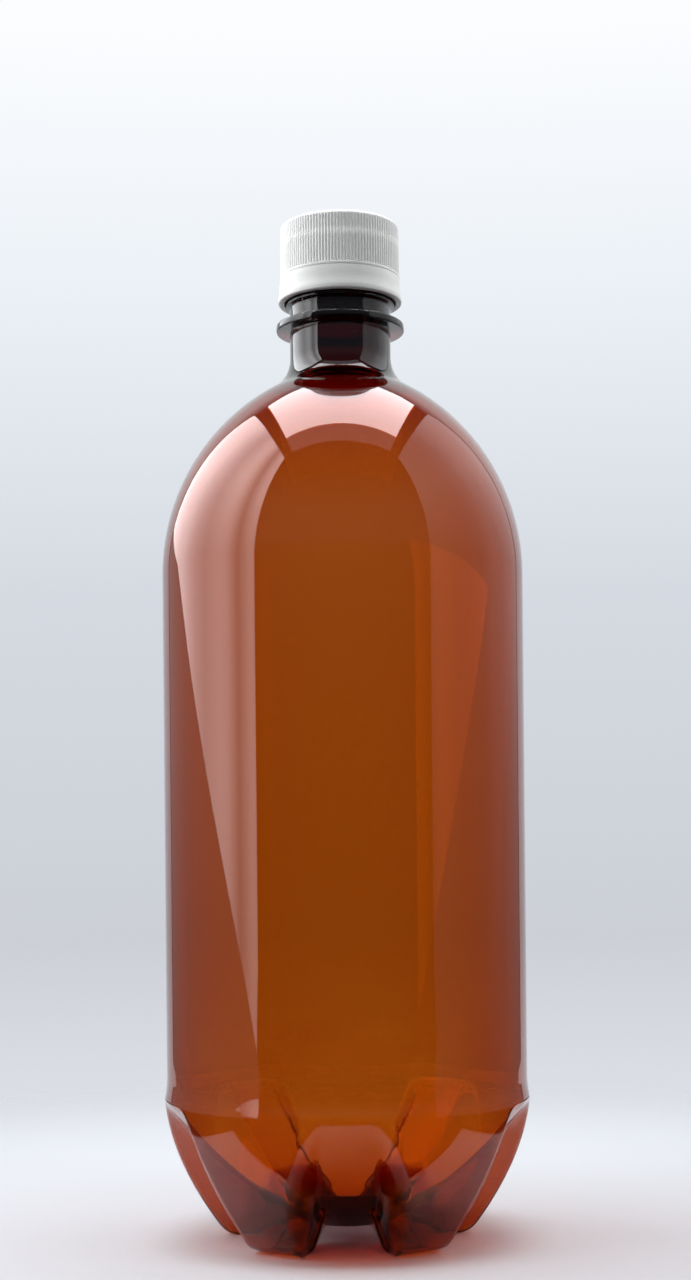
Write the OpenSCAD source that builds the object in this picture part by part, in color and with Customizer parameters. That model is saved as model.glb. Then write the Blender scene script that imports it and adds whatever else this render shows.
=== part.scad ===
// Blow-moulded PET bottle for fizzy drinks, about 1.25 litres, with five petal-shaped feet
// and a 28 mm screw neck, and its white closure screwed on part of the way.
// Millimetres, +Z up. The origin is on the floor, on the bottle's axis.

/* [Body] */
// Diameter of the straight panel
panel_d = 92.9; // [84:0.1:100]
// Height at which the panel becomes straight, over the flare above the feet
panel_from = 41.1; // [39:0.1:60]
// Length of the straight panel
panel_len = 129.5; // [60:0.1:220]
// Radius of the shoulder's curve, seen from the side
shoulder_r = 55; // [48:0.5:70]
// Wall of the blown body
wall = 0.4; // [0.3:0.05:0.8]

/* [Base] */
// Number of feet
feet = 5; // [4:1:7]
// Height of the ridge over the feet
ridge_z = 36.1; // [34:0.1:38.5]
// How far the ridge stands out from the panel
ridge_out = 0.65; // [0.2:0.05:1.5]
// Radius of the feet's outer curve, seen from the side
foot_curve_r = 61.7; // [56:0.1:68]
// Height of that curve's centre over the ridge
foot_curve_up = 5.3; // [3:0.1:11]
// Rounding under each foot, seen from its side
foot_round = 7.5; // [4:0.1:9]
// Rounding under a foot's flanks, seen from its front
side_round = 1.3; // [1:0.1:4]
// Width of a foot over the rounding of its flanks
foot_w = 14.8; // [11:0.1:18]
// Length of the flat pad under each foot, measured towards the hub
pad_len = 3; // [1:0.1:6]
// Slope that a foot's flanks splay to, seen from the front
flank_angle = 24.2; // [16:0.1:26]
// Slope of each valley where it leaves the ridge, from upright
valley_slope = 43; // [36:0.5:48]
// Width of the strap along the bottom of each valley, at the ridge
strap_w = 11.5; // [6:0.1:14]
// How much wider the strap is at the hub
strap_spread = 3; // [0:0.1:4]
// Width to which a foot draws together at the hub
tip_w = 2.4; // [1:0.1:4]
// Height of the hub's underside over the floor
hub_rise = 4.7; // [3.5:0.1:7]
// Diameter of the flat hub
hub_d = 24; // [20:0.5:28]
// Wall at the hub, where the material stays thick
hub_wall = 2.4; // [0.8:0.1:2.8]
// Radius out to which the base stays thick
thick_r = 26; // [18:0.5:30]
// Wall just outside that radius
foot_wall = 0.6; // [0.4:0.05:1]

/* [Neck finish] */
// Bore through the neck
bore_d = 21.74; // [18:0.01:22.2]
// Diameter of the plain neck under the support ring
neck_d = 26; // [24:0.1:27]
// Length of the plain neck
neck_len = 6.4; // [4:0.1:14]
// Radius of the curve from the shoulder into the neck
neck_fillet = 9.7; // [5:0.1:14]
// Diameter of the support ring
ring_d = 33; // [30:0.1:36]
// Thickness of the support ring
ring_t = 1.9; // [1.2:0.1:3]
// Height of the finish, from under the support ring to the rim
finish_h = 21.01; // [18:0.01:26]
// Diameter of the finish under the thread
thread_root_d = 24.94; // [24.2:0.01:25.6]
// Diameter over the thread, which the closure has to clear
thread_d = 27.43; // [26.6:0.01:28]
// Diameter of the bead that the tamper band catches on
bead_d = 28; // [27:0.1:29]
// Height of the bead's underside over the support ring
bead_rise = 4.2; // [3:0.1:5]
// Height of the bead
bead_h = 2.6; // [1.6:0.1:3]
// Rounding of the rim
rim_round = 0.7; // [0.3:0.1:1]

/* [Closure] */
// Height of the closure over its screwed-home place
raised = 4.4; // [0:0.1:5]
// Number of grip ribs
ribs = 120; // [60:12:144]
// Depth of the grip ribs in the lower tier
rib_depth = 0.42; // [0.2:0.02:0.6]
// Depth of the grip ribs in the upper tier
rib_depth_top = 0.26; // [0.1:0.02:0.6]
// Height of the knurled shell
shell_h = 13.7; // [11:0.1:18]
// Height of the upper tier of ribs
top_tier_h = 5.2; // [2:0.1:6]
// Wall of the shell, from its bore to the foot of the ribs
shell_wall = 0.9; // [0.5:0.02:1.2]
// Thickness of the shell's top
top_t = 1.2; // [0.8:0.1:2]
// Rounding of the top edge
top_round = 1.1; // [0.4:0.1:1.2]
// Height of the raised rim under the ribs
rim_h = 0.5; // [0.3:0.1:1]
// How far that rim stands out past the ribs
rim_out = 0.12; // [0:0.02:0.4]
// Thickness of the sealing liner
liner_t = 0.8; // [0.5:0.1:1.5]
// Height of the tamper band
band_h = 6.2; // [4:0.1:8]
// Wall of the band at its top
band_wall = 1.15; // [0.7:0.05:1.3]
// How far the band flares out at its foot
band_flare = 0.5; // [0.2:0.05:1]
// Height of the slit between the shell and the band
slit_h = 0.2; // [0.15:0.05:0.5]
// Number of bridges across the slit
bridges = 12; // [6:1:24]
// Width of one bridge
bridge_w = 0.9; // [0.5:0.1:1.5]

/* [Clearances] */
// Between the thread and the shell's bore
thread_gap = 0.33; // [0.2:0.01:0.5]
// Between the bead and the band's bore
bead_gap = 0.3; // [0.2:0.01:0.5]
// Between the liner's edge and the shell's bore
liner_gap = 0.3; // [0.1:0.01:0.5]
// Left between liner and rim when the closure is screwed home
seal_gap = 0.05; // [0.02:0.01:0.2]

/* [Hidden] */
$fn = 180;

amber = [0.50, 0.20, 0.03, 0.75];
white = [0.94, 0.94, 0.93];
grey_white = [0.85, 0.86, 0.86];

// Points of an arc, seen from the side as [radius, height], with angles counted from +R towards +Z
function arc(centre, r, from, to, steps) =
    [for (i = [0 : steps]) let (a = from + (to - from) * i / steps)
        centre + r * [cos(a), sin(a)]];

// ---- Side profile of the body ----
panel_r = panel_d / 2;
neck_r = neck_d / 2;
bore_r = bore_d / 2;
panel_top = panel_from + panel_len;
shoulder_centre = [panel_r - shoulder_r, panel_top];

// Centre of the arc that blends the shoulder, of radius r, into a neck of radius at
function blend_centre(at, r, blend) =
    [at + blend,
     panel_top + sqrt(pow(r + blend, 2) - pow(at + blend - shoulder_centre[0], 2))];

// Height angle at which the shoulder, of radius r, meets that blend
function blend_angle(centre) =
    atan2(centre[1] - panel_top, centre[0] - shoulder_centre[0]);

neck_centre = blend_centre(neck_r, shoulder_r, neck_fillet);
bore_centre = blend_centre(bore_r, shoulder_r - wall, neck_fillet);
ring_z = neck_centre[1] + neck_len;
ring_top = ring_z + ring_t;
finish_top = ring_z + finish_h;
ring_round = ring_t / 5;
bead_z = ring_top + bead_rise;
bead_slope = (bead_d - thread_root_d) / 2 * 0.3;

// The shoulder and the curve into the neck, from the panel up
function shoulder_points(centre, r) =
    let (a = blend_angle(centre))
    concat(arc(shoulder_centre, r, 0, a, 16),
           arc(centre, neck_fillet, a - 180, -180, 6));

// Half sections: outside from the ridge up to the rim, and inside from the rim down again
function outer_points() = concat(
    [[ridge_r, ridge_z], [panel_r, panel_from]],
    shoulder_points(neck_centre, shoulder_r),
    [[neck_r, ring_z], [ring_d / 2 - ring_round, ring_z], [ring_d / 2, ring_z + ring_round],
     [ring_d / 2, ring_top - ring_round], [ring_d / 2 - ring_round, ring_top],
     [neck_r, ring_top], [neck_r, bead_z], [bead_d / 2, bead_z + bead_slope],
     [bead_d / 2, bead_z + bead_h / 2], [thread_root_d / 2, bead_z + bead_h],
     [thread_root_d / 2, finish_top - rim_round]],
    arc([thread_root_d / 2 - rim_round, finish_top - rim_round], rim_round, 30, 90, 2));

function inner_points() = concat(
    [[bore_r + rim_round / 2, finish_top], [bore_r, finish_top - rim_round / 2]],
    [for (i = [len(bore_side) - 1 : -1 : 0]) bore_side[i]],
    [[panel_r - wall, panel_from], [ridge_r - wall, ridge_z]]);
bore_side = shoulder_points(bore_centre, shoulder_r - wall);

// ---- Petal base ----
// Every point of the base lies on a ray from the pivot, which is on the axis level with the
// ridge. On each ray the foot reaches out to foot_points and the valley only to its own arc.
ridge_r = panel_r + ridge_out;
pivot = [0, ridge_z];
sector = 360 / feet;
foot_centre = [ridge_r - sqrt(pow(foot_curve_r, 2) - pow(foot_curve_up, 2)),
               ridge_z + foot_curve_up];
pad_centre = [foot_centre[0] + sqrt(pow(foot_curve_r - foot_round, 2)
                                    - pow(foot_centre[1] - foot_round, 2)), foot_round];
pad_angle = atan2(foot_centre[1] - foot_round, pad_centre[0] - foot_centre[0]);

// Reach, along a ray that drops by that angle, of an arc seen from the side
function arc_reach(centre, r, ray) =
    let (up = centre[1] - ridge_z,
         along = up * sin(ray) - centre[0] * cos(ray))
    sqrt(pow(along, 2) + pow(r, 2) - pow(centre[0], 2) - pow(up, 2)) - along;

// The valleys follow a long arc from the ridge to the hub's edge
hub_edge = [hub_d / 2, hub_rise];
valley_chord = [ridge_r, ridge_z] - hub_edge;
valley_r = norm(valley_chord) / 2
           / sin(atan2(valley_chord[0], valley_chord[1]) - valley_slope);
valley_centre = [ridge_r, ridge_z] + valley_r * [-cos(valley_slope), sin(valley_slope)];

// Where the outer curve turns into the rounding, and where the flat pad ends inside
round_start = foot_centre + foot_curve_r * [cos(pad_angle), -sin(pad_angle)];
round_ray = atan2(ridge_z - round_start[1], round_start[0]);
pad_end = [pad_centre[0] - pad_len, 0];

CURVE_CUTS = 9;
ROUND_CUTS = 3;
INNER_CUTS = 5;
top_ray = 0.15;

// Centre line of a foot: down its outer curve, round to the flat pad and up to the hub
foot_points = concat(
    [for (i = [0 : CURVE_CUTS]) let (ray = max(top_ray, round_ray * i / CURVE_CUTS))
        pivot + arc_reach(foot_centre, foot_curve_r, ray) * [cos(ray), -sin(ray)]],
    [for (i = [1 : ROUND_CUTS]) let (a = pad_angle + (90 - pad_angle) * i / ROUND_CUTS)
        pad_centre + foot_round * [cos(a), -sin(a)]],
    [for (i = [0 : INNER_CUTS]) pad_end + (hub_edge - pad_end) * i / INNER_CUTS]);

// Half width of a foot's face at a point of its centre line. Its sides splay towards the flank
// angle higher up, are rounded near the floor and draw together towards the hub
function foot_half(p) =
    let (part = min(1, (p[0] - hub_edge[0]) / (pad_centre[0] - hub_edge[0])),
         even = (tip_w + (foot_w - tip_w) * part) / 2,
         splay = part < 1 ? 0 : p[1] * tan(flank_angle),
         below = max(0, side_round - p[1]))
    norm([even, splay]) - part * (side_round - sqrt(pow(side_round, 2) - pow(below, 2)));

// Sine of the widest half angle that the face may take
WIDEST_FACE = 0.6;
function foot_angle(p) = asin(min(WIDEST_FACE, foot_half(p) / p[0]));

// Blend from foot (0) to strap (1) across a flank, with its two creases rounded
CREASE = 0.25;
function flank(u) =
    u < CREASE ? pow(u, 2) / (2 * CREASE * (1 - CREASE))
    : u > 1 - CREASE ? 1 - pow(1 - u, 2) / (2 * CREASE * (1 - CREASE))
    : (u - CREASE / 2) / (1 - CREASE);

FACE_CUTS = 5;
FLANK_AT = [0.12, 0.25, 0.75, 0.88, 1];

// Half a petal as [angle, blend] pairs, from the foot's middle to the valley's middle
function half_petal(foot, strap) = concat(
    [for (i = [0 : FACE_CUTS]) [foot * i / FACE_CUTS, 0]],
    [for (u = FLANK_AT) [foot + (sector / 2 - strap - foot) * u, flank(u)]],
    [[sector / 2, 1]]);

// Half angle of a valley's strap at a distance from the axis, which leaves room for the flanks
LEAST_FLANK = 4;
function strap_angle(r, foot) =
    let (width = strap_w + strap_spread * (ridge_r - r) / (ridge_r - hub_edge[0]))
    min(asin(min(1, width / 2 / r)), sector / 2 - foot - LEAST_FLANK);

// The wall is measured towards the pivot, so on a steep flank it is this much deeper
FLANK_WALL = 0.8;
function flank_wall(blend) = 1 + FLANK_WALL * 4 * blend * (1 - blend);

// Wall of the base at a distance from the axis
function base_wall(r) = r > thick_r
    ? wall + (foot_wall - wall) * (ridge_r - r) / (ridge_r - thick_r)
    : foot_wall + (hub_wall - foot_wall) * sqrt((thick_r - r) / (thick_r - hub_edge[0]));

// One level ring of the base, of its outside or its inside
function base_ring(i, inside) =
    let (p = foot_points[i],
         ray = atan2(ridge_z - p[1], p[0]),
         reach = norm(p - pivot),
         valley = min(reach, arc_reach(valley_centre, valley_r, ray)),
         foot = foot_angle(p),
         strap = strap_angle(valley * cos(ray), foot),
         half = half_petal(foot, strap),
         n = len(half),
         petal = concat(half, [for (j = [n - 2 : -1 : 1]) [sector - half[j][0], half[j][1]]]))
    [for (k = [0 : feet - 1], at = petal)
        let (a = first_foot + sector * k + at[0],
             skin = reach + (valley - reach) * at[1],
             out = skin - (inside ? base_wall(skin * cos(ray)) * flank_wall(at[1]) : 0))
        [out * cos(ray) * cos(a), out * cos(ray) * sin(a), ridge_z - out * sin(ray)]];

// A foot points straight back, so a valley faces the front
first_foot = 90;
LEVELS = len(foot_points);

// A closed skin through rings of equal length, ends capped
module skin(rings) {
    n = len(rings[0]);
    last = len(rings) - 1;
    points = [for (ring = rings, p = ring) p];
    sides = [for (r = [0 : last - 1], k = [0 : n - 1])
        let (a = r * n + k, b = r * n + (k + 1) % n, half = n / feet / 2,
             split = floor(k / half) % 2 == 0)
        each split ? [[a, b, b + n], [a, b + n, a + n]] : [[a, b, a + n], [b, b + n, a + n]]];
    polyhedron(points, concat(
        [[for (k = [n - 1 : -1 : 0]) k]], sides, [[for (k = [0 : n - 1]) last * n + k]]));
}

module petal_base() {
    // tongue that stands up inside the wall over the ridge and joins the base to it
    tongue = 0.6;
    slack = 0.05;
    top_ring = base_ring(0, false);
    level = function (r, z) [for (p = top_ring)
        let (a = atan2(p[1], p[0])) [r * cos(a), r * sin(a), z]];
    ridge_slope = ridge_out / (panel_from - ridge_z);
    difference() {
        skin(concat([level(ridge_r - tongue * ridge_slope - slack, ridge_z + tongue)],
                    [for (i = [0 : LEVELS - 1]) base_ring(i, false)]));
        skin(concat([level(ridge_r - wall + slack, ridge_z + tongue + 1)],
                    [for (i = [0 : LEVELS - 1]) base_ring(i, true)]));
    }
}

// ---- Pieces ----
module bottle() {
    color(amber) union() {
        rotate_extrude() polygon(concat(outer_points(), inner_points()));
        petal_base();
    }
}

liner_z = finish_top + raised + seal_gap;
top_z = liner_z + liner_t + top_t;
shell_z = top_z - shell_h;
band_top = shell_z - slit_h;
band_z = band_top - band_h;
shell_bore_r = thread_d / 2 + thread_gap;
rib_foot_r = shell_bore_r + shell_wall;
band_bore_r = bead_d / 2 + bead_gap;
band_top_r = band_bore_r + band_wall;
band_round = 0.4;
bridge_inset = 0.1;

// Corners of one grip rib in parts of the pitch: two at its foot and two on its crest
RIB_CORNERS = [0, 0.28, 0.5, 0.78];

// A ring of grip ribs, depth high, standing on the shell
module grip(z, h, depth) {
    pitch = 360 / ribs;
    translate([0, 0, z]) linear_extrude(h) polygon([for (i = [0 : ribs - 1], s = [0 : 3])
        let (a = (i + RIB_CORNERS[s]) * pitch, r = rib_foot_r + (s < 2 ? 0 : depth))
        [r * cos(a), r * sin(a)]]);
}

module cap_shell() {
    color(white) difference() {
        union() {
            rotate_extrude() polygon(concat(
                [[0, shell_z], [rib_foot_r + rib_depth + rim_out, shell_z],
                 [rib_foot_r + rib_depth + rim_out, shell_z + rim_h],
                 [rib_foot_r, shell_z + rim_h]],
                arc([rib_foot_r - top_round, top_z - top_round], top_round, 0, 90, 5),
                [[0, top_z]]));
            grip(shell_z + rim_h, shell_h - rim_h - top_tier_h, rib_depth);
            grip(top_z - top_tier_h, top_tier_h - top_round, rib_depth_top);
        }
        translate([0, 0, shell_z - 1]) cylinder(r = shell_bore_r, h = shell_h - top_t + 1);
    }
}

module cap_liner() {
    color(grey_white) translate([0, 0, liner_z])
        cylinder(r = shell_bore_r - liner_gap, h = liner_t);
}

module tamper_band() {
    color(white) rotate_extrude() polygon([
        [band_bore_r, band_z + band_round], [band_bore_r + band_round, band_z],
        [band_top_r + band_flare - band_round, band_z],
        [band_top_r + band_flare, band_z + band_round],
        [band_top_r + band_flare, band_z + 3 * band_round],
        [band_top_r + band_flare / 3, band_z + band_h / 2],
        [band_top_r, band_top], [band_bore_r, band_top]]);
}

module band_bridges() {
    color(white) for (k = [0 : bridges - 1])
        rotate(360 / bridges * k)
            translate([band_bore_r + bridge_inset, -bridge_w / 2, band_top])
                cube([band_wall - 2 * bridge_inset, bridge_w, slit_h]);
}

bottle();
cap_shell();
cap_liner();
tamper_band();
band_bridges();
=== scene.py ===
# %% [markdown]
# # An amber drinks bottle with a white screw closure
# The real object is a blow-moulded PET bottle for fizzy drinks: one thin, clear amber wall with
# five petal feet and a thick screw neck, closed by a white polypropylene cap. The model below is
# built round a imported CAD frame. The frame gives every piece its place and its body, and each
# cell replaces one CAD piece with a finer mesh of the same size. One setting of the renderer is
# changed with the load: it normally blurs what is mirrored or bent after a matt surface, and that
# would lose the amber light that falls through the plastic onto the floor.

import math

import bmesh
import bpy
from mathutils import Matrix, Vector


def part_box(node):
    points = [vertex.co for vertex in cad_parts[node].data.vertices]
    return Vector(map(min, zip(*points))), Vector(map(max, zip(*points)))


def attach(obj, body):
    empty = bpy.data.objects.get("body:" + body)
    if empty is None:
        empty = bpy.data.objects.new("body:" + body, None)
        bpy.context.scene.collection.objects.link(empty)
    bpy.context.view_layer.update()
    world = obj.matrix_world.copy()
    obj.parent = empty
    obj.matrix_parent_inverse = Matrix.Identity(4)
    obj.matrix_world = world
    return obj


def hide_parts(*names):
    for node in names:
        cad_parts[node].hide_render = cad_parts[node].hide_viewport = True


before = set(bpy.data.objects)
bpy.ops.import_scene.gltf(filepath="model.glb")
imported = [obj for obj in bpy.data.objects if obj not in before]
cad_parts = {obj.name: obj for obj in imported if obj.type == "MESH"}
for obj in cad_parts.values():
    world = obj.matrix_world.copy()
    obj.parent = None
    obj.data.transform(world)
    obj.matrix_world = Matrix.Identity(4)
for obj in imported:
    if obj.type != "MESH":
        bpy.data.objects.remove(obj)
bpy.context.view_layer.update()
scene = bpy.context.scene
scene.view_settings.view_transform = "Standard"
scene.cycles.blur_glossy = 0

# %% [markdown]
# ## Camera
# The bottle is seen from half a metre, level, from well below its middle, so the closure is seen
# from underneath and the feet from above. A level camera keeps the bottle's sides upright. The
# lens is then shifted up, as on a view camera, instead of tilting the camera, which would make
# the sides lean together. A very small roll is what a hand-held camera has.

# %% The camera
MM = 0.001
CAMERA_PLACE = (0.1 * MM, -500 * MM, 98.1 * MM)
LENS = 54.3
SHIFT_UP = 0.1695
ROLL = math.radians(0.535)

camera_data = bpy.data.cameras.new("camera")
camera_data.sensor_width = 36
camera_data.lens = LENS
camera_data.shift_y = SHIFT_UP
camera = bpy.data.objects.new("camera", camera_data)
camera.location = CAMERA_PLACE
camera.rotation_euler = (math.radians(90), ROLL, 0)
scene.collection.objects.link(camera)
scene.camera = camera
print("camera at", CAMERA_PLACE, "with a", LENS, "mm lens")

# %% [markdown]
# ## Small helpers for node trees
# Colours are written as they look on a screen, from 0 to 255, and turned into the linear light
# that a shader works in. Two more helpers keep the node code short: one adds a node and fills in
# its inputs, the other adds a Math node.

# %% Colours and nodes


def linear(red, green, blue):
    """A screen colour from 0 to 255 as the linear colour that a node takes."""
    def one(value):
        part = value / 255
        return part / 12.92 if part <= 0.04045 else ((part + 0.055) / 1.055) ** 2.4
    return (one(red), one(green), one(blue), 1)


def add_node(tree, kind, **inputs):
    """A new node of that kind. inputs are values, or sockets to link from; _ stands for a space."""
    node = tree.nodes.new(kind)
    for name, value in inputs.items():
        socket = node.inputs[name.replace("_", " ")]
        if isinstance(value, bpy.types.NodeSocket):
            tree.links.new(value, socket)
        else:
            socket.default_value = value
    return node


def math_node(tree, operation, *values):
    """The result of a Math node on sockets or numbers."""
    node = tree.nodes.new("ShaderNodeMath")
    node.operation = operation
    for socket, value in zip(node.inputs, values):
        if isinstance(value, bpy.types.NodeSocket):
            tree.links.new(value, socket)
        else:
            socket.default_value = value
    return node.outputs[0]


def fill_ramp(node, stops):
    """Gives a Color Ramp node its (position, colour) stops."""
    ramp = node.color_ramp
    while len(ramp.elements) < len(stops):
        ramp.elements.new(0.5)
    for element, (position, colour) in zip(ramp.elements, stops):
        element.position = position
        element.color = colour
    return node


def straight_ray(tree):
    """1 for a ray from the camera, also one that has gone straight through clear plastic, else 0."""
    path = tree.nodes.new("ShaderNodeLightPath")
    seen = math_node(tree, "MAXIMUM", path.outputs["Is Camera Ray"], path.outputs["Is Transmission Ray"])
    turned = math_node(tree, "ADD", path.outputs["Glossy Depth"], path.outputs["Diffuse Depth"])
    unturned = math_node(tree, "LESS_THAN", turned, 0.5)
    return math_node(tree, "MULTIPLY", seen, unturned)


print("linear mid grey:", round(linear(128, 128, 128)[0], 3))

# %% [markdown]
# ## Backdrop
# Behind the bottle hangs a sheet of pale paper, a little blue, nearly white at the top and
# darkest level with the camera. It is made in the world's shader as a gradient by height, so that
# it stands behind the bottle from every side and hides nothing. Clear plastic shows it too. What
# the plastic mirrors is another matter: behind the bottle it is this same paper, but on the
# camera's side the room is dark.

# %% The backdrop in the world
LOWEST, HIGHEST = -0.18, 0.40   # heights of a ray's direction that the paper's gradient spans
BACKDROP = [
    (0.00, linear(231, 234, 239)),
    (0.24, linear(204, 207, 214)),
    (0.54, linear(213, 217, 225)),
    (0.80, linear(236, 241, 247)),
    (1.00, linear(252, 253, 255)),
]
DARK_ROOM = [                   # by the height of the ray's direction: level 0, straight up 1
    (0.00, linear(34, 34, 36)),
    (0.08, linear(48, 48, 51)),
    (0.26, linear(104, 100, 112)),
    (0.50, linear(104, 106, 114)),
    (0.78, linear(70, 68, 73)),
    (1.00, linear(84, 83, 90)),
]

world = bpy.data.worlds.new("backdrop")
scene.world = world
world.use_nodes = True
tree = world.node_tree
tree.nodes.clear()
direction = add_node(tree, "ShaderNodeTexCoord").outputs["Generated"]
parts = add_node(tree, "ShaderNodeSeparateXYZ", Vector=direction)
height = add_node(tree, "ShaderNodeMapRange", Value=parts.outputs["Z"],
                  From_Min=LOWEST, From_Max=HIGHEST)
paper = fill_ramp(add_node(tree, "ShaderNodeValToRGB", Fac=height.outputs[0]), BACKDROP)
behind = add_node(tree, "ShaderNodeMapRange", Value=parts.outputs["Y"], From_Min=0.5, From_Max=0.65)
shows = math_node(tree, "MAXIMUM", behind.outputs[0], straight_ray(tree))
mix = tree.nodes.new("ShaderNodeMix")
mix.data_type = "RGBA"
tree.links.new(shows, mix.inputs["Factor"])
room = fill_ramp(add_node(tree, "ShaderNodeValToRGB", Fac=parts.outputs["Z"]), DARK_ROOM)
tree.links.new(room.outputs["Color"], mix.inputs[6])
tree.links.new(paper.outputs["Color"], mix.inputs[7])
background = add_node(tree, "ShaderNodeBackground", Color=mix.outputs[2], Strength=1.0)
add_node(tree, "ShaderNodeOutputWorld", Surface=background.outputs[0])
print("backdrop stops:", len(BACKDROP))

# %% [markdown]
# ## Floor
# The same pale paper lies under the bottle. It is a round sheet whose rim fades out, so that it
# runs into the backdrop without an edge, from any side. It stays an ordinary matt surface, and
# so it keeps the bottle's shadow and the amber light that comes through the plastic. Past a line
# on each side, and in front, shade is painted into the paper's colour. There it is dark for every
# ray except the camera's own and those that go straight through the plastic. What the plastic
# mirrors, and the light the floor bounces back, is therefore painted dark floor, and those lines
# draw the edges of the mirrored patches in the feet.

# %% The floor
FLOOR_RADIUS = 0.62
FADE_FROM, FADE_TO = 0.20, 0.40
FLOOR_DROP = -0.00005
# Past these lines, in metres, painted shade darkens the paper for all but straight rays
PAINTED_SHADE_SIDE, PAINTED_SHADE_FRONT = 0.115, -0.057     # where the lit middle ends, in metres
# The paper's own colour, and the painted shade that replaces it past those lines
LIT_PAPER, PAINTED_SHADE_PAPER = linear(205, 207, 210), linear(40, 40, 42)

mesh = bmesh.new()
bmesh.ops.create_circle(mesh, cap_ends=True, segments=96, radius=FLOOR_RADIUS)
bmesh.ops.translate(mesh, vec=(0, 0, FLOOR_DROP), verts=mesh.verts)
floor_mesh = bpy.data.meshes.new("floor")
mesh.to_mesh(floor_mesh)
mesh.free()
floor = bpy.data.objects.new("floor", floor_mesh)
scene.collection.objects.link(floor)

material = bpy.data.materials.new("floor_paper")
material.use_nodes = True
tree = material.node_tree
tree.nodes.clear()
place = add_node(tree, "ShaderNodeTexCoord").outputs["Object"]
distance = tree.nodes.new("ShaderNodeVectorMath")
distance.operation = "LENGTH"
tree.links.new(place, distance.inputs[0])
fade = add_node(tree, "ShaderNodeMapRange", Value=distance.outputs["Value"],
                From_Min=FADE_FROM, From_Max=FADE_TO)
fade.interpolation_type = "SMOOTHSTEP"
parts = add_node(tree, "ShaderNodeSeparateXYZ", Vector=place)
# Painted shade: past these lines the paper is dark for mirrored and bounced rays
aside = math_node(tree, "GREATER_THAN", math_node(tree, "ABSOLUTE", parts.outputs["X"]), PAINTED_SHADE_SIDE)
ahead = math_node(tree, "LESS_THAN", parts.outputs["Y"], PAINTED_SHADE_FRONT)
turned = math_node(tree, "SUBTRACT", 1, straight_ray(tree))
painted_shade = math_node(tree, "MULTIPLY", math_node(tree, "MAXIMUM", aside, ahead), turned)
sheet = tree.nodes.new("ShaderNodeMix")
sheet.data_type = "RGBA"
tree.links.new(painted_shade, sheet.inputs["Factor"])
sheet.inputs[6].default_value = LIT_PAPER
sheet.inputs[7].default_value = PAINTED_SHADE_PAPER
paper = add_node(tree, "ShaderNodeBsdfDiffuse", Color=sheet.outputs[2])
clear = tree.nodes.new("ShaderNodeBsdfTransparent")
blend = tree.nodes.new("ShaderNodeMixShader")
tree.links.new(fade.outputs[0], blend.inputs[0])
tree.links.new(paper.outputs[0], blend.inputs[1])
tree.links.new(clear.outputs[0], blend.inputs[2])
add_node(tree, "ShaderNodeOutputMaterial", Surface=blend.outputs[0])
floor_mesh.materials.append(material)
print("floor radius in metres:", FLOOR_RADIUS)

# %% [markdown]
# ## Light tent
# Clear plastic has hardly any colour of its own on its surface: what makes it look like plastic
# is what it mirrors. Here that is a tent of white cloth round the bottle, lit from outside: a
# strong lamp over the roof, one to the left, a weaker one to the right. Each cloth is a flat
# panel that glows inwards, in the real place, because the edges of the panels draw the long
# bright shapes down the bottle's sides. The camera and the rays that go straight through the
# plastic don't see the panels. The cloth's lower part is dim, below a slanting edge, and the
# seams between the panels are dark. Each panel has one level for mirrored light, and a factor
# for the light that it throws on the floor and the closure.

# %% The tent's panels
WALL_OUT, WALL_FRONT, WALL_BACK, ROOF = 300, -228, 330, 690     # millimetres
ROOF_HALF, ROOF_FRONT, ROOF_SPLIT, ROOF_BACK = 244, -213, -95, 301
SEAM_W, SEAM_LEVEL, BOTTLE_MIDDLE = 15, 0.02, 150
CLOTH = linear(250, 252, 255)

# Strengths up a wall are (height, strength) stops. Folds along it are (place in y, factor) stops.
LEFT_BRIGHT = [(0, 1.5), (60, 2.2), (130, 2.6), (220, 2.5), (420, 4.0)]
LEFT_DIM = [(0, 0.22), (45, 0.28), (160, 0.43), (300, 0.5)]
LEFT_FOLDS = [(-228, 0.95), (-200, 0.95), (-148, 0.45), (-96, 1.08), (-66, 1.12), (0, 0.8),
              (42, 0.92), (121, 1.25)]
RIGHT = [(0, 0.12), (45, 0.15), (120, 0.21), (160, 0.27), (215, 0.38), (420, 0.85)]
RIGHT_FOLDS = [(-228, 1.1), (-60, 1.0), (0, 1.15), (60, 1.5), (150, 1.6)]
EVEN = [(0, 1.0)]


def level_along(tree, coordinate, lowest, highest, stops):
    """A socket that follows (place in mm, value) stops along a coordinate in metres."""
    top = max(value for _, value in stops)
    span = add_node(tree, "ShaderNodeMapRange", Value=coordinate,
                    From_Min=lowest * MM, From_Max=highest * MM)
    shades = [((place - lowest) / (highest - lowest), (value / top,) * 3 + (1,))
              for place, value in stops]
    ramp = fill_ramp(add_node(tree, "ShaderNodeValToRGB", Fac=span.outputs[0]), shades)
    return math_node(tree, "MULTIPLY", ramp.outputs["Color"], top)


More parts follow.
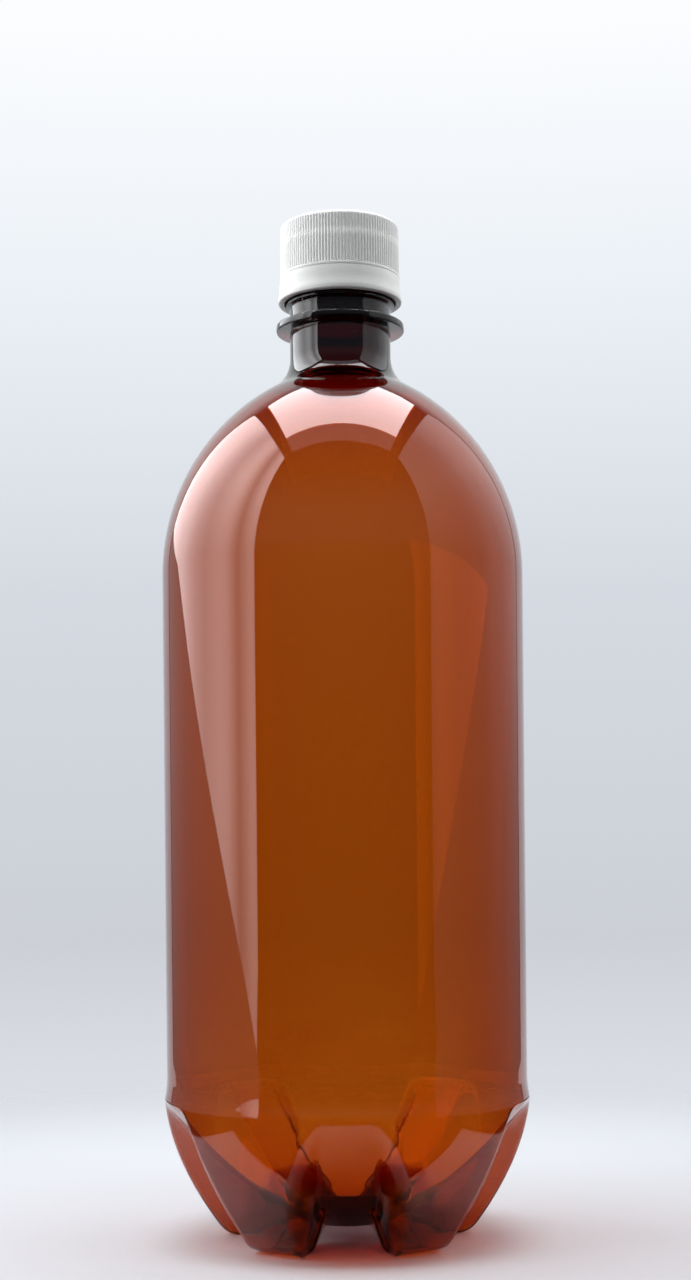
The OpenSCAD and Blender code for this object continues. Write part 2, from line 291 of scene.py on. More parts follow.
def glow_material(name, levels, folds, matt):
    """Cloth that glows on its front, and that straight rays don't see. Its levels are those that
    are seen mirrored, and matt is the factor for the light that it throws on matt surfaces."""
    cloth = bpy.data.materials.new(name)
    cloth.use_nodes = True
    tree = cloth.node_tree
    tree.nodes.clear()
    place = add_node(tree, "ShaderNodeTexCoord").outputs["Object"]
    parts = add_node(tree, "ShaderNodeSeparateXYZ", Vector=place)
    up = level_along(tree, parts.outputs["Z"], 0, ROOF, levels)
    along = level_along(tree, parts.outputs["Y"], WALL_FRONT, WALL_BACK, folds)
    path = tree.nodes.new("ShaderNodeLightPath")
    share = add_node(tree, "ShaderNodeMapRange", Value=path.outputs["Glossy Depth"],
                     To_Min=matt, To_Max=1.0)
    level = math_node(tree, "MULTIPLY", math_node(tree, "MULTIPLY", up, along), share.outputs[0])
    light = add_node(tree, "ShaderNodeEmission", Color=CLOTH, Strength=level)
    clear = tree.nodes.new("ShaderNodeBsdfTransparent")
    back = tree.nodes.new("ShaderNodeNewGeometry").outputs["Backfacing"]
    hidden = math_node(tree, "MAXIMUM", back, straight_ray(tree))
    choose = tree.nodes.new("ShaderNodeMixShader")
    tree.links.new(hidden, choose.inputs[0])
    tree.links.new(light.outputs[0], choose.inputs[1])
    tree.links.new(clear.outputs[0], choose.inputs[2])
    add_node(tree, "ShaderNodeOutputMaterial", Surface=choose.outputs[0])
    return cloth


def panel(name, corners, levels, folds=EVEN, matt=1.0):
    """A flat panel through corners, in millimetres, that glows towards the bottle."""
    shape = bmesh.new()
    face = shape.faces.new([shape.verts.new(Vector(c) * MM) for c in corners])
    face.normal_update()
    to_bottle = Vector((0, 0, BOTTLE_MIDDLE * MM)) - face.calc_center_median()
    if face.normal.dot(to_bottle) < 0:
        face.normal_flip()
    mesh = bpy.data.meshes.new(name)
    shape.to_mesh(mesh)
    shape.free()
    mesh.materials.append(glow_material(name, levels, folds, matt))
    cloth = bpy.data.objects.new(name, mesh)
    scene.collection.objects.link(cloth)
    cloth.visible_camera = False
    cloth.visible_shadow = False


def wall_part(name, x, low, high, levels, folds, matt):
    """A part of a side wall. low and high are its edges' heights at the front and at the back."""
    panel(name, [(x, WALL_FRONT, low[0]), (x, WALL_BACK, low[1]),
                 (x, WALL_BACK, high[1]), (x, WALL_FRONT, high[0])], levels, folds, matt)


def roof_panel(name, front, back, strength, matt):
    """A level panel of the roof."""
    panel(name, [(-ROOF_HALF, front, ROOF), (ROOF_HALF, front, ROOF),
                 (ROOF_HALF, back, ROOF), (-ROOF_HALF, back, ROOF)], [(0, strength)], matt=matt)


floor_line, slant, roof_line = (0, 0), (18, 298), (ROOF, ROOF)
wall_part("tent_left_bright", -WALL_OUT, slant, roof_line, LEFT_BRIGHT, LEFT_FOLDS, matt=0.8)
wall_part("tent_left_dim", -WALL_OUT, floor_line, slant, LEFT_DIM, EVEN, matt=1.0)
wall_part("tent_right", WALL_OUT, floor_line, roof_line, RIGHT, RIGHT_FOLDS, matt=1.7)
roof_panel("tent_roof", ROOF_SPLIT, ROOF_BACK, strength=6.5, matt=0.6)
roof_panel("tent_roof_front", ROOF_FRONT, ROOF_SPLIT, strength=0.65, matt=14.0)
for side in (-1, 1):
    panel("tent_seam", [(side * WALL_OUT, WALL_BACK, 0), (side * WALL_OUT, WALL_BACK + SEAM_W, 0),
                        (side * WALL_OUT, WALL_BACK + SEAM_W, ROOF),
                        (side * WALL_OUT, WALL_BACK, ROOF)], [(0, SEAM_LEVEL)])
print("tent", 2 * WALL_OUT, "mm wide and", ROOF, "mm high")

# %% [markdown]
# ## Turned shapes
# Almost everything here is round, so it is made the way a lathe does it: half a section is drawn
# as a chain of points (radius, height), and spun round the upright axis. Bmesh's spin does that,
# and its use_merge closes the last step onto the first. Points on the axis are merged afterwards,
# so that the poles are closed. Corners get a small curve in the section itself, which catches the
# light as a real moulded edge does.

# %% Sections and spinning


def arc(centre, radius, start, end, steps):
    """Points of an arc. Angles are in degrees, from outwards towards up."""
    points = []
    for i in range(steps + 1):
        angle = math.radians(start + (end - start) * i / steps)
        points.append((centre[0] + radius * math.cos(angle), centre[1] + radius * math.sin(angle)))
    return points


def line(start, end, steps):
    """Points that divide a straight line, both ends included."""
    return [(start[0] + (end[0] - start[0]) * i / steps, start[1] + (end[1] - start[1]) * i / steps)
            for i in range(steps + 1)]


def rounded(corners, steps=4):
    """A chain through corners (radius, height, rounding), each corner rounded by that much."""
    points = []
    for i, (r, z, size) in enumerate(corners):
        corner = Vector((r, z))
        if size == 0:
            points.append((r, z))
            continue
        before = Vector(corners[i - 1][:2]) - corner
        after = Vector(corners[i + 1][:2]) - corner
        start = corner + before.normalized() * min(size, before.length * 0.49)
        end = corner + after.normalized() * min(size, after.length * 0.49)
        for k in range(steps + 1):
            t = k / steps
            points.append(tuple((1 - t) ** 2 * start + 2 * t * (1 - t) * corner + t ** 2 * end))
    return points


def spin_section(points, columns, tags=()):
    """A bmesh spun from a closed section of (radius, height) points, in millimetres.
    tags are (name, values) pairs, one value for each point, kept on the vertices."""
    shape = bmesh.new()
    layers = [(shape.verts.layers.float.new(name), values) for name, values in tags]
    chain = []
    for i, (r, z) in enumerate(points):
        vertex = shape.verts.new((r, 0, z))
        for layer, values in layers:
            vertex[layer] = values[i]
        chain.append(vertex)
    edges = [shape.edges.new(pair) for pair in zip(chain, chain[1:])]
    if points[0][0] > 0:
        edges.append(shape.edges.new((chain[-1], chain[0])))
    bmesh.ops.spin(shape, geom=chain + edges, cent=(0, 0, 0), axis=(0, 0, 1),
                   angle=2 * math.pi, steps=columns, use_merge=True)
    poles = [vertex for vertex in shape.verts if math.hypot(vertex.co.x, vertex.co.y) < 1e-4]
    bmesh.ops.remove_doubles(shape, verts=poles, dist=1e-4)
    return shape


def finish_piece(shape, name, node, body, material, sharp=40):
    """Turns a bmesh in millimetres into a piece in metres that stands for a CAD node."""
    bmesh.ops.recalc_face_normals(shape, faces=shape.faces)
    bmesh.ops.scale(shape, vec=(MM, MM, MM), verts=shape.verts)
    for face in shape.faces:
        face.smooth = True
    for edge in shape.edges:
        edge.smooth = edge.calc_face_angle(0) < math.radians(sharp)
    mesh = bpy.data.meshes.new(name)
    shape.to_mesh(mesh)
    shape.free()
    mesh.materials.append(material)
    piece = bpy.data.objects.new(name, mesh)
    scene.collection.objects.link(piece)
    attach(piece, body)
    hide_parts(node)
    triangles = sum(len(face.vertices) - 2 for face in mesh.polygons)
    print(f"{name}: {triangles} triangles, {piece.dimensions.z / MM:.1f} mm high")
    return piece


print("an arc of 4 steps has", len(arc((0, 0), 1, 0, 90, 4)), "points")

# %% [markdown]
# ## Amber PET
# The plastic is clear, and its colour comes from depth: light loses blue at once, green soon and
# red last, so a thin wall is orange and the thick neck is almost black. A coloured surface can't
# do that, so the surface is colourless and smooth, with PET's refractive index of 1.575, and the
# volume inside absorbs. Blow-moulding leaves the wall very slightly wavy, in long upright waves,
# which a faint bump gives the mirrored edges.

# %% The amber material
KEPT_PER_WALL = (0.69, 0.295, 0.05)   # red, green and blue left after one blown wall
WALL_DEPTH = 0.4 * MM


def amber_plastic():
    """Clear, smooth plastic that takes its colour from the depth of plastic behind the surface."""
    amber = bpy.data.materials.new("amber_pet")
    amber.use_nodes = True
    tree = amber.node_tree
    tree.nodes.clear()
    place = add_node(tree, "ShaderNodeTexCoord").outputs["Object"]
    stretched = add_node(tree, "ShaderNodeMapping", Vector=place, Scale=(1, 1, 0.15))
    waves = add_node(tree, "ShaderNodeTexNoise", Vector=stretched.outputs[0], Scale=90.0, Detail=1.0)
    bump = add_node(tree, "ShaderNodeBump", Height=waves.outputs[0], Strength=0.02, Distance=0.001)
    plastic = add_node(tree, "ShaderNodeBsdfPrincipled", Base_Color=(1, 1, 1, 1), Roughness=0.0,
                       IOR=1.575, Transmission_Weight=1.0, Normal=bump.outputs[0])
    lost = [-math.log(kept) / WALL_DEPTH for kept in KEPT_PER_WALL]
    density = max(lost) * 1.02
    tint = [1 - value / density for value in lost] + [1]
    depth = add_node(tree, "ShaderNodeVolumeAbsorption", Color=tint, Density=density)
    add_node(tree, "ShaderNodeOutputMaterial", Surface=plastic.outputs[0], Volume=depth.outputs[0])
    print("absorption colour:", [round(value, 3) for value in tint[:3]], "density", round(density))
    return amber


amber = amber_plastic()

# %% [markdown]
# ## The bottle's section
# The wall has two sides, a true 0.4 mm apart in the blown part and about two in the neck,
# because the look of a clear bottle is made by both: each bends and mirrors light. The section
# runs up the outside from the hub under the middle, over the rim and down the inside. These are
# the sizes of the CAD part, in millimetres, with finer curves.

# %% Body and neck sizes
PANEL_R, PANEL_FROM, PANEL_TOP = 46.45, 41.1, 170.6
SHOULDER_R, NECK_FILLET, WALL = 55.0, 9.7, 0.4
BORE_R, NECK_R, ROOT_R, BEAD_R, RING_R = 10.87, 13.0, 12.47, 14.0, 16.5
RING_T, NECK_LEN, FINISH_H = 1.9, 6.4, 21.01
BEAD_RISE, BEAD_H, RIM_ROUND = 4.2, 2.6, 0.7
RIDGE_Z, RIDGE_OUT = 36.1, 0.65
RIDGE_R = PANEL_R + RIDGE_OUT
shoulder_centre = (PANEL_R - SHOULDER_R, PANEL_TOP)


def neck_blend(at, shoulder):
    """Centre and start angle of the curve from a shoulder of that radius into a neck of radius at."""
    across = at + NECK_FILLET - shoulder_centre[0]
    up = math.sqrt((shoulder + NECK_FILLET) ** 2 - across ** 2)
    return (at + NECK_FILLET, PANEL_TOP + up), math.degrees(math.atan2(up, across))


def shoulder_section(at, shoulder):
    """The shoulder and the curve into the neck, from the panel up."""
    centre, angle = neck_blend(at, shoulder)
    return (arc(shoulder_centre, shoulder, 0, angle, 44)
            + arc(centre, NECK_FILLET, angle - 180, -180, 16)[1:])


neck_top = neck_blend(NECK_R, SHOULDER_R)[0][1]
ring_z = neck_top + NECK_LEN
ring_top = ring_z + RING_T
bead_z = ring_top + BEAD_RISE
finish_top = ring_z + FINISH_H
thread_from = bead_z + BEAD_H

# %% [markdown]
# ## The base's section
# Under the ridge the section is that of one foot: a long outer curve, a tight rounding, a small
# flat pad on the floor, and a straight rise to the hub, where the material stays thick. The
# valleys between the feet are pressed in later, from this same section. They are a little rounder
# than in the CAD part, and the wall of the feet a little thinner.

# %% Foot and hub sizes
FEET = 5
FOOT_CURVE_R, FOOT_CURVE_UP, FOOT_ROUND, PAD_LEN = 61.7, 5.3, 7.5, 3.0
HUB_RISE, HUB_R = 4.7, 12.0
HUB_WALL, THICK_TO, THICK_R, FOOT_WALL = 2.4, 16.0, 26.0, 0.54
NUB_R, NUB_H = 2.2, 0.8
VALLEY_SLOPE = 36.0                     # degrees from upright, where a valley leaves the ridge

foot_centre = (RIDGE_R - math.sqrt(FOOT_CURVE_R ** 2 - FOOT_CURVE_UP ** 2), RIDGE_Z + FOOT_CURVE_UP)
pad_r = foot_centre[0] + math.sqrt((FOOT_CURVE_R - FOOT_ROUND) ** 2
                                   - (foot_centre[1] - FOOT_ROUND) ** 2)
pad_angle = math.degrees(math.atan2(foot_centre[1] - FOOT_ROUND, pad_r - foot_centre[0]))
ridge_angle = math.degrees(math.asin(FOOT_CURVE_UP / FOOT_CURVE_R))

# Each valley's floor is a long arc from the ridge to the hub's edge
chord = Vector((RIDGE_R - HUB_R, RIDGE_Z - HUB_RISE))
chord_slope = math.degrees(math.atan2(chord.x, chord.y))
valley_r = chord.length / 2 / math.sin(math.radians(chord_slope - VALLEY_SLOPE))
valley_centre = (RIDGE_R - valley_r * math.cos(math.radians(VALLEY_SLOPE)),
                 RIDGE_Z + valley_r * math.sin(math.radians(VALLEY_SLOPE)))


def base_section():
    """From the hub's edge down to the pad, round it and up to the ridge."""
    return (line((HUB_R, HUB_RISE), (pad_r - PAD_LEN, 0), 14)
            + line((pad_r - PAD_LEN, 0), (pad_r, 0), 3)[1:]
            + arc((pad_r, FOOT_ROUND), FOOT_ROUND, -90, -pad_angle, 8)[1:]
            + arc(foot_centre, FOOT_CURVE_R, -pad_angle, -ridge_angle, 34)[1:])


print(f"the pads reach from {pad_r - PAD_LEN:.1f} to {pad_r:.1f} mm from the axis,",
      f"the hub is {HUB_RISE:.2f} mm over the floor")

# %% The whole section, outside and inside
NECK_THICK = 0.5                        # how much thicker the shoulder is blown by the neck


def bottle_section():
    """(points, base tags, inward tags, places). A tagged base point is still to be pressed into
    petals. A point of the skin and the one behind it in the lining have the same place."""
    base = base_section()
    hub = rounded([(0, HUB_RISE - NUB_H, 0), (NUB_R - 0.4, HUB_RISE - NUB_H, 0.5), (NUB_R, HUB_RISE, 0.4),
                   (HUB_R - 0.5, HUB_RISE, 0)], 3)
    flare = [(PANEL_R + RIDGE_OUT * (1 - i / 12) ** 1.5, RIDGE_Z + (PANEL_FROM - RIDGE_Z) * i / 12)
             for i in range(1, 13)]
    panel_rows = line((PANEL_R, PANEL_FROM + 3), (PANEL_R, PANEL_TOP - 3), 14)
    ring = rounded([(NECK_R, ring_z - 1, 0), (NECK_R, ring_z, 0.35), (RING_R, ring_z, 0.5),
                    (RING_R, ring_top, 0.5), (NECK_R, ring_top, 0.35), (NECK_R, bead_z, 0.3),
                    (BEAD_R, bead_z + 0.46, 0.3), (BEAD_R, bead_z + BEAD_H / 2, 0.3),
                    (ROOT_R, thread_from, 0.3), (ROOT_R, thread_from + 0.6, 0)])
    finish = line((ROOT_R, thread_from + 0.6), (ROOT_R, finish_top - 1.2), 38)[1:]
    rim = rounded([(ROOT_R, finish_top - 1.0, 0), (ROOT_R, finish_top, RIM_ROUND),
                   (BORE_R, finish_top, 0.4), (BORE_R, finish_top - 1, 0)], 5)
    outside = flare + panel_rows + shoulder_section(NECK_R, SHOULDER_R) + ring + finish + rim
    bore = [(r, z - NECK_THICK * ((z - PANEL_TOP) / (neck_top - PANEL_TOP)) ** 6)
            for r, z in shoulder_section(BORE_R, SHOULDER_R - WALL)[::-1]]
    inside = bore + [(r - WALL, z) for r, z in (panel_rows[::-1] + flare[::-1])]
    points = hub + base + outside + inside + base[::-1] + [(HUB_R - 0.5, HUB_RISE), (0, HUB_RISE)]
    in_base = [1] * len(hub + base) + [0] * len(outside + inside) + [1] * (len(base) + 2)
    inward = [0] * len(hub + base + outside + inside) + [1] * (len(base) + 2)
    pairs = list(range(1, len(base) + 1))
    place = [0] * len(hub) + pairs + [0] * len(outside + inside) + pairs[::-1] + [0, 0]
    return points, in_base, inward, place


points, in_base, inward, place = bottle_section()
print("the section has", len(points), "points")

# %% [markdown]
# ## Petals
# Each column of the spun mesh is moved by a rule. Across half a petal it crosses the foot's
# outer face, then the flank, then the strap in the valley; the columns are first slid round so
# that they follow those creases. Each point then moves along the ray from the axis at the ridge's
# level, from the foot's reach to the valley's, by how far down the flank it is. That shapes the
# skin. The lining is then set behind it, square to the skin, so that even a steep flank keeps its
# wall, and only the thick part round the hub is measured along the rays. Sculpting five equal
# feet by hand would be slower and never equal.

# %% Pressing the valleys in
FOOT_W, FLANK_SLOPE, SIDE_ROUND = 14.8, math.tan(math.radians(24.2)), 1.3
TIP_HALF, STRAP_W, STRAP_SPREAD, CREASE = 1.2, 11.5, 3.0, 0.25
LEAST_FLANK = math.radians(4)
COLUMNS = FEET * 48
FOOT_SHARE, STRAP_SHARE = 8 / 24, 20 / 24     # parts of half a petal's columns
SECTOR = 2 * math.pi / FEET
FIRST_FOOT = math.pi / 2                      # a foot points back, so a valley faces front
SETTLE = 24.0                                 # height over the ridge in which columns even out


def valley_reach(ray):
    """How far a valley's floor lies from the pivot, along a ray that drops by that angle."""
    up = valley_centre[1] - RIDGE_Z
    along = up * math.sin(ray) - valley_centre[0] * math.cos(ray)
    return math.sqrt(along ** 2 + valley_r ** 2 - valley_centre[0] ** 2 - up ** 2) - along


def base_wall(radius):
    """Wall of the base at that distance from the axis: thick round the hub, thin where it blew."""
    if radius > THICK_R:
        return WALL + (FOOT_WALL - WALL) * (RIDGE_R - radius) / (RIDGE_R - THICK_R)
    part = min(1, (THICK_R - radius) / (THICK_R - HUB_R))
    return FOOT_WALL + (HUB_WALL - FOOT_WALL) * math.sqrt(part)


def flank(u):
    """Blend from foot (0) to strap (1) across a flank, its two creases rounded."""
    if u < CREASE:
        return u ** 2 / (2 * CREASE * (1 - CREASE))
    if u > 1 - CREASE:
        return 1 - (1 - u) ** 2 / (2 * CREASE * (1 - CREASE))
    return (u - CREASE / 2) / (1 - CREASE)


def petal_angles(r, z):
    """Half angles of a foot's face and of the strap, where the foot's section is at (r, z)."""
    outer = r > pad_r - 0.01
    taper = 1 if outer else (r - HUB_R) / (pad_r - HUB_R)
    even = TIP_HALF + (FOOT_W / 2 - TIP_HALF) * taper
    below = max(0, SIDE_ROUND - z)
    lost = (SIDE_ROUND - math.sqrt(SIDE_ROUND ** 2 - below ** 2)) * taper
    half = math.hypot(even, z * FLANK_SLOPE if outer else 0) - lost
    foot = math.asin(half / r)
    ray = math.atan2(RIDGE_Z - z, r)
    reach = min(math.hypot(r, RIDGE_Z - z), valley_reach(ray))
    out = reach * math.cos(ray)
    width = STRAP_W + STRAP_SPREAD * (RIDGE_R - out) / (RIDGE_R - HUB_R)
    strap = math.asin(min(1, width / 2 / out))
    return foot, min(strap, SECTOR / 2 - foot - LEAST_FLANK)


def across_petal(angle, foot, strap):
    """(angle slid to follow the creases, blend from foot to strap) for a column's even angle."""
    turn = (angle - FIRST_FOOT + SECTOR / 2) % SECTOR - SECTOR / 2
    middle = angle - turn
    t = abs(turn) / (SECTOR / 2)
    if t <= FOOT_SHARE:
        slid, u = foot * t / FOOT_SHARE, 0
    elif t >= STRAP_SHARE:
        slid, u = SECTOR / 2 - strap * (1 - t) / (1 - STRAP_SHARE), 1
    else:
        u = (t - FOOT_SHARE) / (STRAP_SHARE - FOOT_SHARE)
        slid = foot + (SECTOR / 2 - strap - foot) * u
    return middle + math.copysign(slid, turn), flank(u)


def press_petals(shape):
    """Moves the base's vertices from the foot's section into feet and valleys."""
    is_base = shape.verts.layers.float["base"]
    inward = shape.verts.layers.float["inward"]
    place = shape.verts.layers.float["place"]
    ridge_angles = petal_angles(RIDGE_R, RIDGE_Z)
    skin, lining = {}, []
    for vertex in shape.verts:
        r, z = math.hypot(vertex.co.x, vertex.co.y), vertex.co.z
        if r < 1e-4:
            vertex.co.z += vertex[inward] * HUB_WALL
            continue
        even = math.atan2(vertex.co.y, vertex.co.x)
        if vertex[is_base] < 0.5:
            settled = min(1, max(0, (z - RIDGE_Z) / SETTLE))
            if settled < 1:
                slid = across_petal(even, *ridge_angles)[0]
                angle = slid + (even - slid) * settled ** 2 * (3 - 2 * settled)
                vertex.co.x, vertex.co.y = r * math.cos(angle), r * math.sin(angle)
            continue
        angle, sunk = across_petal(even, *petal_angles(max(r, HUB_R), z))
        ray = math.atan2(RIDGE_Z - z, r)
        reach = math.hypot(r, RIDGE_Z - z)
        if r >= HUB_R - 0.01:
            reach += (min(reach, valley_reach(ray)) - reach) * sunk
        away = Vector((math.cos(ray) * math.cos(angle), math.cos(ray) * math.sin(angle), -math.sin(ray)))
        vertex.co = Vector((0, 0, RIDGE_Z)) + reach * away
        column = (round(vertex[place]), round(even / (2 * math.pi) * COLUMNS) % COLUMNS)
        if vertex[inward] > 0.5:
            lining.append((vertex, column, away, reach * math.cos(ray)))
        else:
            skin[column] = vertex
    shape.normal_update()
    for vertex, column, away, out in lining:
        wall = base_wall(out)
        blown = min(1, max(0, (out - THICK_TO) / (THICK_R - THICK_TO))) if column[0] else 0
        square = skin[column].normal if blown else away
        if square.dot(away) < 0:
            square = -square
        vertex.co -= wall * (away * (1 - blown) + square * blown)


print("columns:", COLUMNS)

# %% [markdown]
# ## Thread
# The neck has a right-hand thread with a pitch of 3.18 mm, once and three quarters round, with
# four upright vents cut through it that let the gas out early. It is pushed out of the spun neck
# by a rule too: each vertex looks up its height over the thread's centre line. A separate coil
# would leave hidden walls inside clear plastic, where they show. The closure's inner thread uses
# the same rule, half a pitch lower, so the two slide past each other as the cap turns.

# %% The thread's rule
PITCH, THREAD_DEEP = 3.18, 1.24
THREAD_START, THREAD_TURNS = thread_from + 2.6, 650 / 360
CREST_HALF, FOOT_HALF = 0.35, 1.05
VENTS, VENT_HALF = 4, math.radians(6)


def thread_rise(angle, z, start, turns, vents=0):
    """How far the thread stands up at that angle and height, from 0 to 1. start is the height of
    its centre line where it begins, at angle 0."""
    turn = (angle / (2 * math.pi)) % 1
    lap = round((z - start) / PITCH - turn)
    along = lap + turn
    off = abs(z - start - along * PITCH)
    side = min(1, max(0, (FOOT_HALF - off) / (FOOT_HALF - CREST_HALF)))
    ends = min(1, max(0, along / 0.06), max(0, (turns - along) / 0.06))
    if vents:
        spacing = 2 * math.pi / vents
        from_vent = abs((angle + spacing / 2) % spacing - spacing / 2)
        ends *= min(1, max(0, (from_vent - VENT_HALF) / (VENT_HALF * 0.4)))
    return side * max(0, ends)


def press_thread(shape, radius, height_from, height_to, out, start, turns, vents=0):
    """Pushes a spun wall of that radius out (or in, where out is negative) along a thread."""
    moved = 0
    for vertex in shape.verts:
        x, y, z = vertex.co
        if abs(math.hypot(x, y) - radius) > 0.01 or not height_from < z < height_to:
            continue
        rise = thread_rise(math.atan2(y, x), z, start, turns, vents) * out
        vertex.co.x *= 1 + rise / radius
        vertex.co.y *= 1 + rise / radius
        moved += rise != 0
    return moved


print("rise on the centre line:", round(thread_rise(math.radians(45), THREAD_START + PITCH / 8,
                                                    THREAD_START, THREAD_TURNS), 2))

# %% Spin the bottle, press it and round the ridge
RIDGE_BAND = 1.1

bottle = spin_section(points, COLUMNS, [("base", in_base), ("inward", inward), ("place", place)])
press_petals(bottle)
threaded = press_thread(bottle, ROOT_R, thread_from, finish_top - 1, THREAD_DEEP,
                        THREAD_START, THREAD_TURNS, VENTS)
near_ridge = [v for v in bottle.verts
              if abs(v.co.z - RIDGE_Z) < RIDGE_BAND and math.hypot(v.co.x, v.co.y) > 40]
for _ in range(3):
    bmesh.ops.smooth_vert(bottle, verts=near_ridge, factor=0.5, use_axis_x=True,
                          use_axis_y=True, use_axis_z=False)
open_edges = sum(not edge.is_manifold for edge in bottle.edges)
print("threaded vertices:", threaded, "open edges:", open_edges)
finish_piece(bottle, "bottle_wall", "bottle", "bottle", amber, 60)

# %% [markdown]
# ## White polypropylene
# The closure is injection moulded from white polypropylene: a soft, slightly waxy sheen and a
# very fine grain from the mould. The colour varies a little, as it does where the plastic is
# thin. The grain is a bump too small to see as dots, which only breaks up the highlight.

# %% The white material


def moulded_plastic(name, dark, pale, roughness, grain):
    """Opaque moulded plastic. grain is the strength of the mould's fine texture."""
    plastic = bpy.data.materials.new(name)
    plastic.use_nodes = True
    tree = plastic.node_tree
    tree.nodes.clear()
    place = add_node(tree, "ShaderNodeTexCoord").outputs["Object"]
    cloud = add_node(tree, "ShaderNodeTexNoise", Vector=place, Scale=120.0, Detail=3.0)
    tint = fill_ramp(add_node(tree, "ShaderNodeValToRGB", Fac=cloud.outputs[0]),
                     [(0.35, dark), (0.65, pale)])
    speck = add_node(tree, "ShaderNodeTexNoise", Vector=place, Scale=4000.0, Detail=2.0)
    bump = add_node(tree, "ShaderNodeBump", Height=speck.outputs[0], Strength=grain, Distance=0.00005)
    sheen = add_node(tree, "ShaderNodeMapRange", Value=cloud.outputs[0],
                     To_Min=roughness - 0.04, To_Max=roughness + 0.04)
    surface = add_node(tree, "ShaderNodeBsdfPrincipled", Base_Color=tint.outputs["Color"],
                       Roughness=sheen.outputs[0], IOR=1.49, Normal=bump.outputs[0])
    add_node(tree, "ShaderNodeOutputMaterial", Surface=surface.outputs[0])
    return plastic


white = moulded_plastic("white_pp", linear(236, 236, 232), linear(242, 242, 238), 0.4, 0.25)
print("white plastic ready")

# %% [markdown]
# ## Closure shell
# The shell is a cup with 120 fine grip ribs in two tiers, deep below and shallow above, and a
# smooth raised rim under them. The ribs are pressed into the spun wall as a wave round the axis,
# six columns to a rib, which keeps the shell one closed wall. Inside are the thread and the flat
# roof that holds the liner, and on top the small sunk mark of the moulding gate.

# %% Closure sizes
cap_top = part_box("cap_shell")[1].z / MM
cap_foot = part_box("cap_shell")[0].z / MM
liner_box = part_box("cap_liner")
SHELL_BORE_R, SHELL_WALL, TOP_T, TOP_ROUND = 14.045, 0.9, 1.2, 1.1
RIBS, RIB_DEEP, RIB_DEEP_TOP, TOP_TIER_H = 120, 0.42, 0.34, 5.2
VALLEY_FILL = 0.55                      # part of a rib's depth that its rounded valley fills
RIM_H, RIM_OUT = 0.5, 0.12
SLIT = 0.03                             # what is seen of the 0.2 mm slit over the band
GATE_R, GATE_DEEP = 1.3, 0.25
RIB_FOOT_R = SHELL_BORE_R + SHELL_WALL
RIM_R = RIB_FOOT_R + RIB_DEEP + RIM_OUT
tier_z = cap_top - TOP_TIER_H
roof_z = cap_top - TOP_T
rim_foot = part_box("tamper_band")[1].z / MM + SLIT
print(f"closure from {cap_foot:.2f} to {cap_top:.2f} mm, tiers meet at {tier_z:.2f} mm")

# %% The shell
SHELL_COLUMNS = RIBS * 6
THREAD_IN = 0.95


def shell_section():
    """Down the outside from the middle of the top, and up the bore again."""
    top = rounded([(0, cap_top - GATE_DEEP, 0), (GATE_R, cap_top - GATE_DEEP, 0.15),
                   (GATE_R + 0.3, cap_top, 0.15), (RIB_FOOT_R - TOP_ROUND - 2, cap_top, 0)])
    edge = arc((RIB_FOOT_R - TOP_ROUND, cap_top - TOP_ROUND), TOP_ROUND, 90, 0, 7)
    upper = line((RIB_FOOT_R, cap_top - TOP_ROUND - 0.2), (RIB_FOOT_R, tier_z + 0.1), 4)
    lower = line((RIB_FOOT_R, tier_z - 0.1), (RIB_FOOT_R, cap_foot + RIM_H + 0.15), 6)
    rim = rounded([(RIB_FOOT_R, cap_foot + RIM_H, 0.0), (RIM_R, cap_foot + RIM_H, 0.15),
                   (RIM_R, rim_foot, 0.03), (SHELL_BORE_R, rim_foot, 0.2),
                   (SHELL_BORE_R, cap_foot + 0.5, 0)])
    bore = line((SHELL_BORE_R, cap_foot + 0.8), (SHELL_BORE_R, roof_z - 0.8), 28)
    roof = rounded([(SHELL_BORE_R, roof_z - 0.5, 0), (SHELL_BORE_R, roof_z, 0.3),
                    (SHELL_BORE_R - 2, roof_z, 0), (0, roof_z, 0)])
    return top + edge + upper + lower + rim + bore + roof


def press_ribs(shape):
    """Raises the grip ribs on the shell's outer wall, fading into the rounded top edge."""
    for vertex in shape.verts:
        x, y, z = vertex.co
        r = math.hypot(x, y)
        if r < RIB_FOOT_R - TOP_ROUND * 0.7 or r > RIB_FOOT_R + 0.01 or z < cap_foot + RIM_H + 0.05:
            continue
        deep = RIB_DEEP if z < tier_z else RIB_DEEP_TOP
        fade = min(1, max(0, (r - RIB_FOOT_R + TOP_ROUND * 0.7) / (TOP_ROUND * 0.7)))
        wave = 0.5 - 0.5 * math.cos(RIBS * math.atan2(y, x))
        wave = VALLEY_FILL + (1 - VALLEY_FILL) * wave
        grown = 1 + deep * fade * wave / r
        vertex.co.x *= grown
        vertex.co.y *= grown


shell = spin_section(shell_section(), SHELL_COLUMNS)
press_ribs(shell)
press_thread(shell, SHELL_BORE_R, cap_foot + 0.9, roof_z - 1, -THREAD_IN,
             THREAD_START - PITCH / 2, 3.2)
finish_piece(shell, "closure_shell", "cap_shell", "closure", white)

# %% [markdown]
# ## Tamper band and its bridges
# Under the shell hangs a smooth ring that flares out and is rounded at its foot. Twelve small
# bridges hold it to the shell across a slit that is finer than a hair's breadth of light. On the
# real closure they are moulded with it, narrow at the waist where they break; here they are
# twelve small blocks with rounded upright edges.

# %% The band
band_low, band_high = (corner.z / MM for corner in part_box("tamper_band"))
BAND_BORE_R, BAND_WALL, BAND_FLARE, BAND_ROUND = 14.3, 1.15, 0.5, 0.4
BAND_LIP = 0.12
BAND_TOP_R = BAND_BORE_R + BAND_WALL
BAND_FOOT_R = BAND_TOP_R + BAND_FLARE
band_mid = (band_low + band_high) / 2

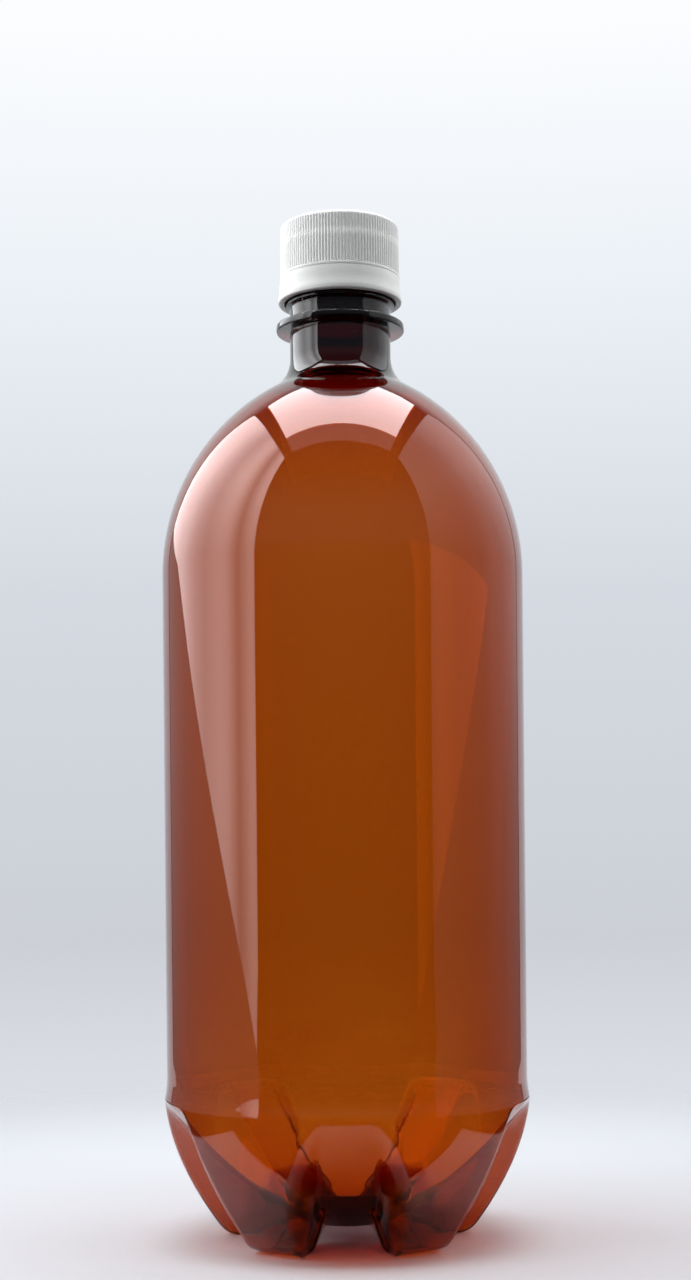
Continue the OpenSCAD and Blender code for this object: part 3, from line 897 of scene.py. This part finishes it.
band = spin_section(rounded([
    (BAND_FOOT_R, band_low + 1.2, 0.5), (BAND_TOP_R + BAND_FLARE / 3, band_mid, 1.2),
    (BAND_TOP_R, band_high, 0.03), (BAND_BORE_R, band_high, 0.12),
    (BAND_BORE_R, band_low + 1.6, 0.4), (BAND_BORE_R - BAND_LIP, band_low + 0.9, 0.3),
    (BAND_BORE_R, band_low, BAND_ROUND), (BAND_FOOT_R, band_low, BAND_ROUND),
    (BAND_FOOT_R, band_low + 0.8, 0)]), 180)
finish_piece(band, "tamper_ring", "tamper_band", "closure", white)

# %% The bridges
BRIDGES, BRIDGE_W, BRIDGE_INSET = 12, 0.9, 0.1
slit_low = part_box("band_bridges")[0].z / MM
slit_high = slit_low + SLIT
bridge_out = BAND_WALL - 2 * BRIDGE_INSET

bridge_shapes = bmesh.new()
for k in range(BRIDGES):
    made = bmesh.ops.create_cube(bridge_shapes, size=1)["verts"]
    bmesh.ops.scale(bridge_shapes, vec=(bridge_out, BRIDGE_W, slit_high - slit_low), verts=made)
    side_edges = list({e for v in made for e in v.link_edges
                       if abs(e.verts[0].co.z - e.verts[1].co.z) > 0.01})
    bevelled = bmesh.ops.bevel(bridge_shapes, geom=side_edges, offset=0.12, affect="EDGES",
                               segments=2, profile=0.5, material=-1)
    made = list({v for f in bevelled["faces"] for v in f.verts} | {v for v in made if v.is_valid})
    bmesh.ops.translate(bridge_shapes, verts=made,
                        vec=(BAND_BORE_R + BAND_WALL / 2, 0, (slit_low + slit_high) / 2))
    bmesh.ops.rotate(bridge_shapes, verts=made, cent=(0, 0, 0),
                     matrix=Matrix.Rotation(2 * math.pi * k / BRIDGES, 3, "Z"))
finish_piece(bridge_shapes, "closure_bridges", "band_bridges", "closure", white)

# %% [markdown]
# ## Sealing liner
# A soft grey-white disc lies in the roof of the shell and is squeezed onto the bottle's rim. It
# is seen only from below, once the closure is off. Its face has the shallow ring that the rim
# presses into it.

# %% The liner
liner_low, liner_high = (corner.z / MM for corner in liner_box)
LINER_R = SHELL_BORE_R - 0.3
DENT = 0.12
soft_white = moulded_plastic("liner_foam", linear(206, 210, 210), linear(216, 219, 219), 0.7, 0.6)

liner = spin_section(rounded([
    (0, liner_high, 0), (LINER_R, liner_high, 0.15), (LINER_R, liner_low, 0.2),
    (ROOT_R + 0.2, liner_low, 0.1), (ROOT_R, liner_low + DENT, 0.1),
    (BORE_R, liner_low + DENT, 0.1), (BORE_R - 0.2, liner_low, 0.1), (4, liner_low, 0),
    (0, liner_low, 0)], 2), 120)
finish_piece(liner, "sealing_liner", "cap_liner", "liner", soft_white)
